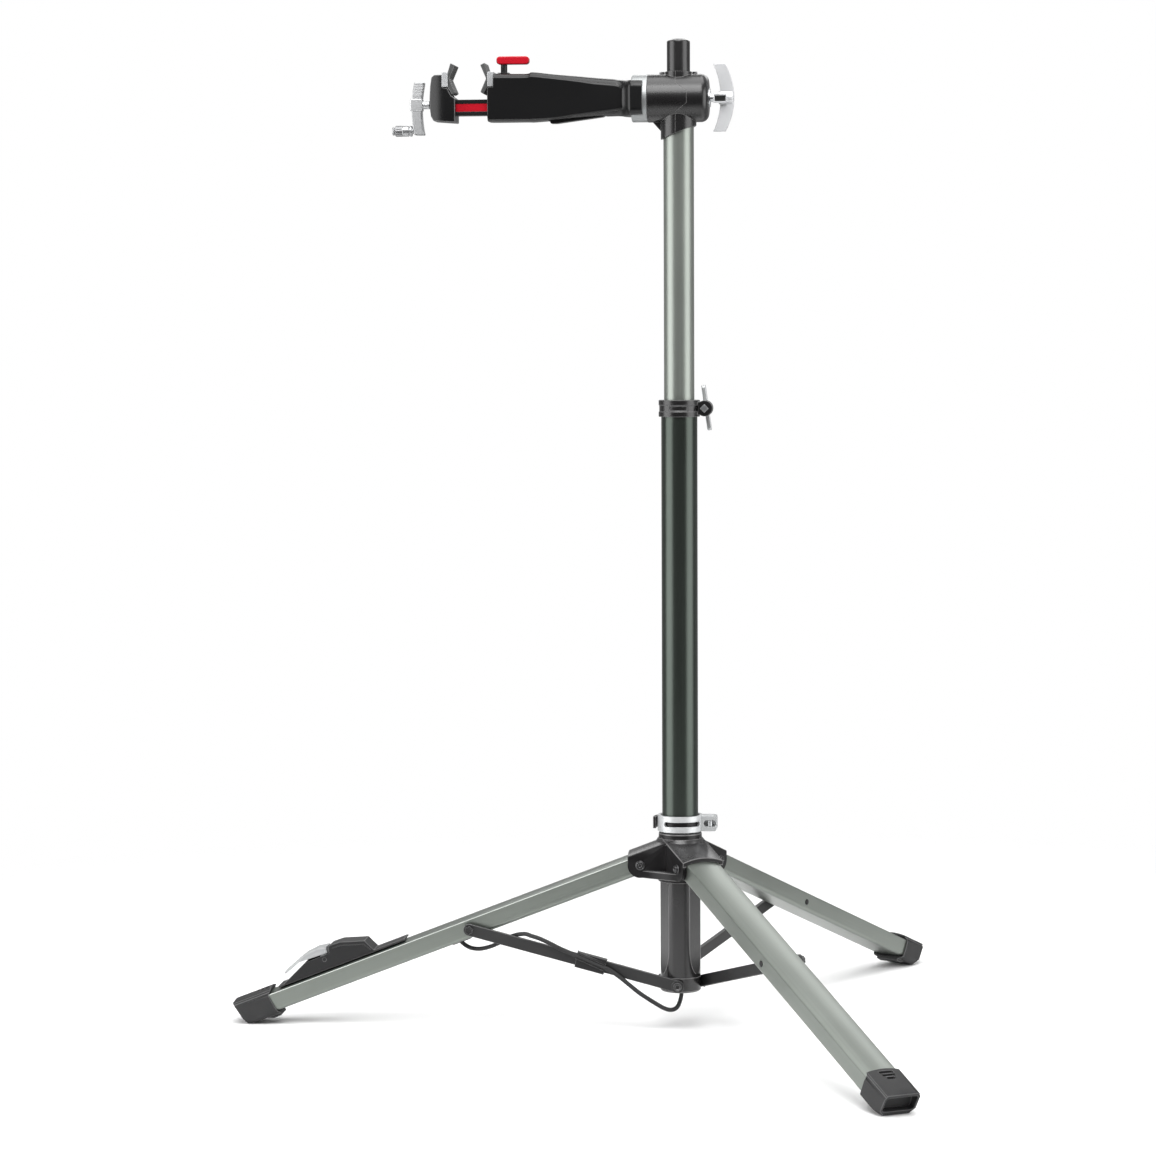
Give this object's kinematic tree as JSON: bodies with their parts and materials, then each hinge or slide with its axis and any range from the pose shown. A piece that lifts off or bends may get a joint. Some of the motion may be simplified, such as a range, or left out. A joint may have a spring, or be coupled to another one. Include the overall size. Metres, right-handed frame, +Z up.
{
  "type": "bicycle repair stand",
  "caption": "Folding tripod work stand with telescopic gas-sprung mast, foot-pedal release, and a rotating screw clamp with V pads that holds a bicycle by its tube.",
  "frame": {"origin": "centre of the footprint box on the floor, midway between the outermost toes; the mast stands on +X from it", "axes": "+Z up the mast, -X along the leg with the pedal and along the clamp, +Y to the back"},
  "size_m": [0.9677, 1.1166, 1.3715],
  "materials": {
    "anodised_dark": "satin dark green-grey anodised tube",
    "anodised_sage": "satin grey-green anodised",
    "cast_black": "semi-gloss black cast aluminium",
    "cast_grey": "satin dark grey cast aluminium",
    "strut_black": "satin black painted steel bar",
    "silver": "bright polished aluminium",
    "steel": "turned steel",
    "dark_steel": "blackened steel",
    "rubber": "matt black rubber",
    "pad_rubber": "matt dark grey rubber",
    "moulded_black": "moulded black nylon",
    "moulded_gloss": "smooth black nylon",
    "red": "bright red"
  },
  "bodies": {
    "mast": {"lower_tube": "anodised_dark", "mast_foot": "cast_grey", "strut_bracket": "cast_grey", "tube_bush": "moulded_black", "height_collar": "moulded_black", "collar_bolt": "steel", "gas_rod": "steel", "valve_block": "cast_grey"},
    "valve_lever": {"valve_lever": "steel"},
    "wing_nut": {"collar_wing_nut": "silver"},
    "hub": {"leg_hub": "cast_black", "hub_collar": "silver", "hub_bolts": "dark_steel", "collar_barrel": "steel"},
    "hub_lever": {"hub_lever": "cast_grey"},
    "leg_1": {"leg_1": "anodised_sage", "foot_1": "rubber", "strut_bolt_1": "dark_steel", "pedal_housing": "moulded_black", "pedal_pin": "steel", "cable_grommet": "moulded_black"},
    "leg_2": {"leg_2": "anodised_sage", "foot_2": "rubber", "strut_bolt_2": "dark_steel"},
    "leg_3": {"leg_3": "anodised_sage", "foot_3": "rubber", "strut_bolt_3": "dark_steel"},
    "pedal": {"pedal_tread": "silver"},
    "strut_1": {"strut_1": "strut_black", "cable_clip": "moulded_black", "release_cable": "rubber"},
    "strut_2": {"strut_2": "strut_black"},
    "strut_3": {"strut_3": "strut_black"},
    "upper_mast": {"upper_tube": "anodised_sage", "slider_bush": "moulded_black", "gas_cylinder": "strut_black", "head_left_shell": "cast_black", "head_right_shell": "cast_black", "head_bolts": "dark_steel", "accessory_post": "cast_black", "barrel_bush": "moulded_black"},
    "clamp_arm": {"arm_front_shell": "moulded_gloss", "arm_rear_shell": "moulded_gloss", "arm_cover": "moulded_gloss", "arm_shaft": "steel", "friction_ring": "silver", "fixed_bracket": "silver", "fixed_pad": "pad_rubber", "release_base": "moulded_black"},
    "wing_handle": {"wing_handle": "silver"},
    "release": {"release_bar": "red", "release_stem": "moulded_black"},
    "lock_plate": {"lock_plate": "steel"},
    "rail": {"rail": "cast_black", "rail_stripes": "red"},
    "moving_jaw": {"moving_jaw": "moulded_gloss", "jaw_bracket": "silver", "jaw_pad": "pad_rubber"},
    "crank": {"crank": "silver"},
    "crank_grip": {"crank_grip": "silver"}
  },
  "joints": [
    {"name": "hub_slide", "type": "slide", "parent": "mast", "child": "hub", "axis": [0, 0, 1], "range_m": [0, 0.3825]},
    {"name": "leg_1_fold", "type": "hinge", "parent": "hub", "child": "leg_1", "pos_m": [0.09414, 0, 0.2325], "axis": [0, -1, 0], "range_deg": [0, 66.85]},
    {"name": "strut_1_swing", "type": "hinge", "parent": "leg_1", "child": "strut_1", "pos_m": [-0.14519, 0, 0.13967], "axis": [0, 1, 0], "range_deg": [0, 130.61], "deforming": ["release_cable"]},
    {"name": "leg_2_fold", "type": "hinge", "parent": "hub", "child": "leg_2", "pos_m": [0.17469, -0.04651, 0.2325], "axis": [0.866, 0.5, 0], "range_deg": [0, 66.85]},
    {"name": "strut_2_swing", "type": "hinge", "parent": "leg_2", "child": "strut_2", "pos_m": [0.29436, -0.25377, 0.13967], "axis": [-0.866, -0.5, 0], "range_deg": [0, 130.61]},
    {"name": "leg_3_fold", "type": "hinge", "parent": "hub", "child": "leg_3", "pos_m": [0.17469, 0.04651, 0.2325], "axis": [-0.866, 0.5, 0], "range_deg": [0, 66.85]},
    {"name": "strut_3_swing", "type": "hinge", "parent": "leg_3", "child": "strut_3", "pos_m": [0.29436, 0.25377, 0.13967], "axis": [0.866, -0.5, 0], "range_deg": [0, 130.61]},
    {"name": "hub_lever_swing", "type": "hinge", "parent": "hub", "child": "hub_lever", "pos_m": [0.18984, 0.02, 0.2875], "axis": [0, 0, -1], "range_deg": [0, 150]},
    {"name": "height_slide", "type": "slide", "parent": "mast", "child": "upper_mast", "axis": [0, 0, 1], "range_m": [-0.33, 0.14]},
    {"name": "collar_wing_turn", "type": "hinge", "parent": "mast", "child": "wing_nut", "pos_m": [0.18334, 0.035, 0.8655], "axis": [0, 1, 0], "continuous": true},
    {"name": "clamp_rotate", "type": "hinge", "parent": "upper_mast", "child": "clamp_arm", "pos_m": [0.14784, 0, 1.291], "axis": [1, 0, 0], "continuous": true},
    {"name": "wing_handle_turn", "type": "hinge", "parent": "clamp_arm", "child": "wing_handle", "pos_m": [0.20784, 0, 1.291], "axis": [1, 0, 0], "continuous": true},
    {"name": "rail_slide", "type": "slide", "parent": "clamp_arm", "child": "rail", "axis": [1, 0, 0], "range_m": [-0.045, 0.02]},
    {"name": "jaw_feed", "type": "slide", "parent": "rail", "child": "moving_jaw", "axis": [1, 0, 0], "range_m": [-0.0061, 0.0091]},
    {"name": "crank_turn", "type": "hinge", "parent": "moving_jaw", "child": "crank", "pos_m": [-0.20666, 0, 1.285], "axis": [1, 0, 0], "range_deg": [-720, 1080]},
    {"name": "crank_grip_spin", "type": "hinge", "parent": "crank", "child": "crank_grip", "pos_m": [-0.23166, 0, 1.2495], "axis": [1, 0, 0], "continuous": true},
    {"name": "release_press", "type": "slide", "parent": "clamp_arm", "child": "release", "axis": [0, 0, -1], "range_m": [0, 0.006], "stiffness_N_per_m": 1500},
    {"name": "lock_tilt", "type": "hinge", "parent": "clamp_arm", "child": "lock_plate", "pos_m": [-0.08416, 0, 1.2655], "axis": [0, 1, 0], "range_deg": [0, 6.05]},
    {"name": "pedal_press", "type": "hinge", "parent": "leg_1", "child": "pedal", "pos_m": [-0.35248, 0, 0.09273], "axis": [0, -1, 0], "range_deg": [0, 10], "stiffness_Nm_per_rad": 8},
    {"name": "valve_lever_pull", "type": "hinge", "parent": "mast", "child": "valve_lever", "pos_m": [0.13884, 0, 0.093], "axis": [0, 1, 0], "range_deg": [0, 10.1]}
  ],
  "couplings": [
    {"joint": "leg_1_fold", "follows": "hub_slide", "rad_per_m": 3.048},
    {"joint": "strut_1_swing", "follows": "hub_slide", "rad_per_m": 5.9553},
    {"joint": "leg_2_fold", "follows": "hub_slide", "rad_per_m": 3.048},
    {"joint": "strut_2_swing", "follows": "hub_slide", "rad_per_m": 5.9553},
    {"joint": "leg_3_fold", "follows": "hub_slide", "rad_per_m": 3.048},
    {"joint": "strut_3_swing", "follows": "hub_slide", "rad_per_m": 5.9553},
    {"joint": "jaw_feed", "follows": "crank_turn", "m_per_rad": 0.00047746},
    {"joint": "lock_tilt", "follows": "release_press", "rad_per_m": 17.453},
    {"joint": "valve_lever_pull", "follows": "pedal_press", "ratio": 1}
  ]
}
